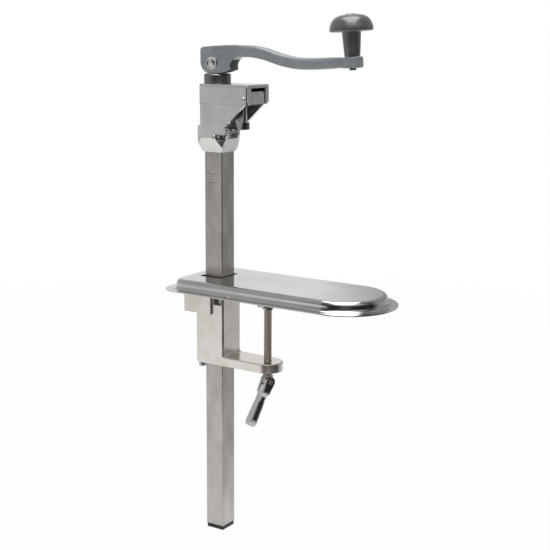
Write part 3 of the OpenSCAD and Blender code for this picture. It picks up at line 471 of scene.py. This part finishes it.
# %% [markdown]
# ## Shapes made again
#
# A solid modeller draws a casting, a moulding and a thread with flat faces and sharp
# corners. Here four pieces are made again on the same sizes, and each replaces its node
# and rides on the same body.
#
# The crank is a painted casting. A casting's corners are never sharp, and thick enamel
# softens them more. The solid's shape is right, so it is kept: its copy is built again
# from small even cells, and smoothing then eases every edge alike. A bevel is another
# way, but it needs clean edges to work on, and this way doesn't.

# %% The crank as a casting
def merged(mesh):
    """A copy of a CAD mesh whose triangles share their corners."""
    loose = bmesh.new()
    loose.from_mesh(mesh)
    bmesh.ops.remove_doubles(loose, verts=loose.verts[:], dist=0.001 * mm)
    joined = bpy.data.meshes.new(mesh.name + "_merged")
    loose.to_mesh(joined)
    loose.free()
    return joined


cast_cell, cast_passes = 0.75 * mm, 16
crank_mesh = merged(cad_node["crank"].data)
crank_mesh.materials.clear()
crank = link("crank_casting", crank_mesh, enamel)
cells = crank.modifiers.new("cells", "REMESH")
cells.mode, cells.voxel_size, cells.use_smooth_shade = "VOXEL", cast_cell, True
ease = crank.modifiers.new("ease", "SMOOTH")
ease.factor, ease.iterations = 0.5, cast_passes
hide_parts("crank")
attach(crank, "crank")
print("crank: points before the cells", len(crank_mesh.vertices), "cell, mm:", cast_cell / mm)

# %% [markdown]
# ## The knob and the crank pin
#
# Both are round, so each is a profile of radius and height that goes round an axis. The
# knob is moulded plastic with a tapered stem and a mushroom head, and a highlight slides
# over it without a facet, so its head is a smooth run through a few points. The pin is
# turned steel, chromed, with a low dome inside a thin bright ring at each end.

# %% Turned shapes
def through(points, steps=6):
    """A smooth run through points, by Catmull and Rom: half of 2 b + (c - a) t
    + (2 a - 5 b + 4 c - d) t^2 + (3 b - a - 3 c + d) t^3 between b and c."""
    p = np.array(points, float)
    p = np.vstack((2 * p[0] - p[1], p, 2 * p[-1] - p[-2]))
    a, b, c, d = (p[k:len(p) - 3 + k, None, :] for k in range(4))
    t = np.linspace(0, 1, steps, endpoint=False)[None, :, None]
    run = (2 * b + (c - a) * t + (2 * a - 5 * b + 4 * c - d) * t ** 2
           + (3 * b - a - 3 * c + d) * t ** 3) / 2
    return np.vstack((run.reshape(-1, 2), p[-2:-1]))


def skin_faces(rings, steps, loop):
    """Four-cornered faces between neighbouring rings; a loop also joins the last ring to the first."""
    i, j = np.meshgrid(np.arange(rings if loop else rings - 1), np.arange(steps), indexing="ij")
    up, on = (i + 1) % rings, (j + 1) % steps
    corners = np.stack((i * steps + j, i * steps + on, up * steps + on, up * steps + j), -1)
    return corners.reshape(-1, 4).tolist()


def mesh_of(name, points, faces):
    """A smooth-shaded mesh from points in metres."""
    mesh = bpy.data.meshes.new(name)
    mesh.from_pydata(points.tolist(), [], faces)
    mesh.shade_smooth()
    return mesh


def turned(name, profile, axis, steps, loop):
    """Radius and height go round the axis: x = r cos a, y = r sin a, z = height. A profile that isn't
    a loop is closed at both ends by a middle point."""
    profile = np.array(profile, float) * mm
    turn = np.linspace(0, 2 * math.pi, steps, endpoint=False)
    radius, height = profile[:, :1], profile[:, 1:]
    points = np.stack((radius * np.cos(turn), radius * np.sin(turn), height + 0 * turn), -1).reshape(-1, 3)
    rings = len(profile)
    faces = skin_faces(rings, steps, loop)
    if not loop:
        low, high = len(points), len(points) + 1
        points = np.vstack((points, (0, 0, profile[0, 1]), (0, 0, profile[-1, 1])))
        last = (rings - 1) * steps
        faces += [[low, (k + 1) % steps, k] for k in range(steps)]
        faces += [[high, last + k, last + (k + 1) % steps] for k in range(steps)]
    mesh = mesh_of(name, points, faces)
    mesh.transform(axis)
    return mesh


print("a smooth run through 3 points has", len(through([(0, 0), (1, 1), (2, 0)])), "points")

# %% The knob
knob_foot = Vector((113.0, 0.0, 280.3)) * mm              # where the knob's axis meets the crank's end
knob_tilt = math.radians(-4)
knob_seat = 7.6                                           # mm from there to the knob's lower face
knob_axis = (Matrix.Translation(knob_foot) @ Matrix.Rotation(knob_tilt, 4, "Y")
             @ Matrix.Translation((0, 0, knob_seat * mm)))
knob_radius, knob_height, knob_bore = 25.0, 48.0, 4.1

# (radius, height) from the bore, out and up the stem to the head
stem = [(knob_bore, 0), (8.2, 0), (8.7, 0.15), (9.05, 0.6), (9.6, 8), (10.86, knob_height - 21.4),
        (11.1, knob_height - 20.9), (11.6, knob_height - 20.75)]
# (in from the widest radius, down from the top) from below the head, round its rim and over it
dome = through([(knob_radius - x, knob_height - z) for x, z in (
    (4.0, 20.4), (2.2, 20.2), (0.8, 19.6), (0.05, 18.2), (0.1, 16), (0.9, 13), (2.4, 9.2), (4.9, 5.9),
    (8.2, 3.5), (12, 2.1), (16, 1.4), (18.6, 1.25))])
# the shallow cap round the bolt's end, and back to the bore
cap_disc = [(6.1, knob_height - 1.25), (5.95, knob_height - 0.75), (5.7, knob_height - 0.55),
            (knob_bore, knob_height - 0.55)]
knob_profile = np.vstack((stem, dome, cap_disc))
knob_profile[:, 0] = np.minimum(knob_profile[:, 0], knob_radius)      # a smooth run swings a little wide
knob_mesh = turned("knob_moulding", knob_profile, knob_axis, steps=96, loop=True)
knob = link("knob_moulding", knob_mesh, knob_plastic)
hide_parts("knob")
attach(knob, "knob")
print("knob points:", len(knob_mesh.vertices))

# %% The crank pin
spindle_place = Vector((-75.0, 0.0, 276.5)) * mm          # where the crank folds on the spindle
pin_radius, pin_half = 8.0, 13.5                          # mm, in the crank's fork
eye_radius, eye_half = 4.0, 7.3                           # mm, thinner where the spindle's eye holds it
dome_radius, dome_rise = 5.2, 1.25
dome_run = [(dome_radius * math.sin(a), pin_half - dome_rise * (1 - math.cos(a)))
            for a in np.linspace(0.05, math.pi / 2, 10)]
# (radius, height) from the dome through a fine groove, over the ring, down the side and in to the eye
pin_end = dome_run + [(5.25, 12.2), (5.3, 12.3), (5.4, 13.1), (5.5, 13.2), (7.7, 13.2), (7.9, 13.1),
                      (7.97, 12.9), (pin_radius, 12.5), (pin_radius, eye_half + 0.1), (7.9, eye_half),
                      (eye_radius, eye_half)]
pin_profile = [(r, -z) for r, z in pin_end] + [(r, z) for r, z in reversed(pin_end)]
pin_axis = Matrix.Translation(spindle_place) @ Matrix.Rotation(math.radians(-90), 4, "X")
pin_mesh = turned("crank_pin_domed", pin_profile, pin_axis, steps=64, loop=False)
crank_pin = link("crank_pin_domed", pin_mesh, chrome)
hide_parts("crank_pin")
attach(crank_pin, "crank")
print("pin points:", len(pin_mesh.vertices))

# %% [markdown]
# ## The clamp screw
#
# A clamp is tightened by a steel screw, and its thread is what the eye knows it by. A
# rod whose radius rises and falls along a helix gives a real outline and real shadows,
# which a bump can't. The pitch is a little coarser than on the usual M10 screw, so that
# the thread shows. The screw's two ends come from the solid: its copy is merged, cut
# across above and below the thread, and closed where it was cut.

# %% The clamp screw with its thread
crest, root, pitch = 4.95, 4.25, 2.0          # mm
thread_low, thread_high = -103.4, -22.0       # mm
thread_fade = 2.0                             # mm over which the thread dies out at each end
thread_step, thread_sides = 0.2, 40           # mm between rings, and points on a ring
ring_slack = 0.01                             # mm more, so that the last ring is in
end_overlap = 0.2                             # mm by which the solid's ends reach into the rod
sharp_angle = math.radians(30)


def thread_mesh(name):
    """Radius at height z and turn a: root + (crest - root) (1 + cos(2 pi z / pitch - a)) / 2, with the
    wave dying out towards each end."""
    height = np.arange(thread_low, thread_high + ring_slack, thread_step)[:, None]
    turn = np.linspace(0, 2 * math.pi, thread_sides, endpoint=False)[None, :]
    room_left = np.minimum(height - thread_low, thread_high - height)
    wave = 0.5 + 0.5 * np.cos(2 * math.pi * height / pitch - turn)
    radius = root + (crest - root) * wave * np.clip(room_left / thread_fade, 0, 1)
    points = np.stack((radius * np.cos(turn), radius * np.sin(turn), height + 0 * turn), -1)
    rings = len(height)
    faces = skin_faces(rings, thread_sides, False)
    faces += [list(range(thread_sides))[::-1], list(range((rings - 1) * thread_sides, rings * thread_sides))]
    return mesh_of(name, points.reshape(-1, 3) * mm, faces)


def kept_side(mesh, height, above):
    """The part of a closed mesh above or below a height, closed again where it was cut."""
    cut = bmesh.new()
    cut.from_mesh(mesh)
    bmesh.ops.bisect_plane(cut, geom=cut.verts[:] + cut.edges[:] + cut.faces[:],
                           plane_co=(0, 0, height * mm), plane_no=(0, 0, 1),
                           clear_outer=not above, clear_inner=above)
    bmesh.ops.holes_fill(cut, edges=[edge for edge in cut.edges if edge.is_boundary])
    kept = bpy.data.meshes.new("kept")
    cut.to_mesh(kept)
    cut.free()
    kept.set_sharp_from_angle(angle=sharp_angle)
    return kept


source = merged(cad_node["clamp_screw"].data)
whole = bmesh.new()
for part in (kept_side(source, thread_low + end_overlap, above=False),
             kept_side(source, thread_high - end_overlap, above=True), thread_mesh("thread")):
    part.materials.clear()
    whole.from_mesh(part)
screw_mesh = bpy.data.meshes.new("clamp_screw_cut")
whole.to_mesh(screw_mesh)
whole.free()
clamp_screw = link("clamp_screw_cut", screw_mesh, screw_steel)
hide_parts("clamp_screw")
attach(clamp_screw, "screw")
print("screw points:", len(screw_mesh.vertices))
